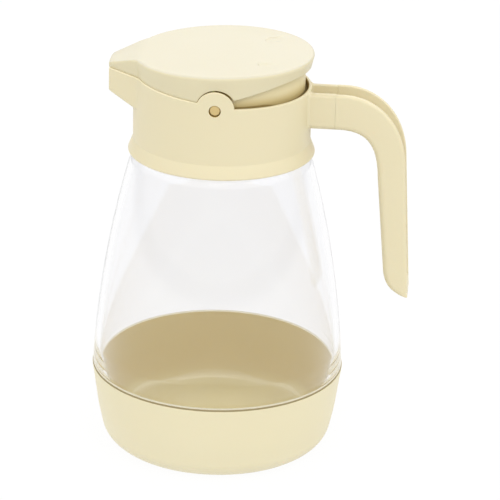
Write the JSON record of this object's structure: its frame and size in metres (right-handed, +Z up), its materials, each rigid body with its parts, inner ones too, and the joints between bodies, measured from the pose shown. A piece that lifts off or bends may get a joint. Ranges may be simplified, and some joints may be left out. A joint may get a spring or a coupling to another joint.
{
  "type": "syrup dispenser",
  "caption": "Clear tapered jar in an ivory base cup, with a moulded collar that has a spout and a channel handle, and a rocking lid that a thumb tips open to pour.",
  "frame": {"origin": "on the jar's axis, on the underside of the base cup", "axes": "+Z up along the jar's axis, -X towards the spout, +X towards the handle, Y along the lid's pivot"},
  "size_m": [0.1648, 0.1318, 0.214],
  "materials": {
    "ivory_base": "satin moulded ivory plastic",
    "ivory_collar": "satin moulded ivory plastic",
    "ivory_handle": "satin moulded ivory plastic",
    "ivory_lid": "satin moulded ivory plastic",
    "clear_jar": "polished clear polycarbonate"
  },
  "bodies": {
    "jug": {"base_cup": "ivory_base", "clear_jar": "clear_jar", "collar": "ivory_collar", "handle": "ivory_handle"},
    "lid": {"lid": "ivory_lid"}
  },
  "joints": [
    {"name": "lid_pivot", "type": "hinge", "parent": "jug", "child": "lid", "pos_m": [0.0008, 0, 0.196], "axis": [0, 1, 0], "range_deg": [0, 15]}
  ]
}
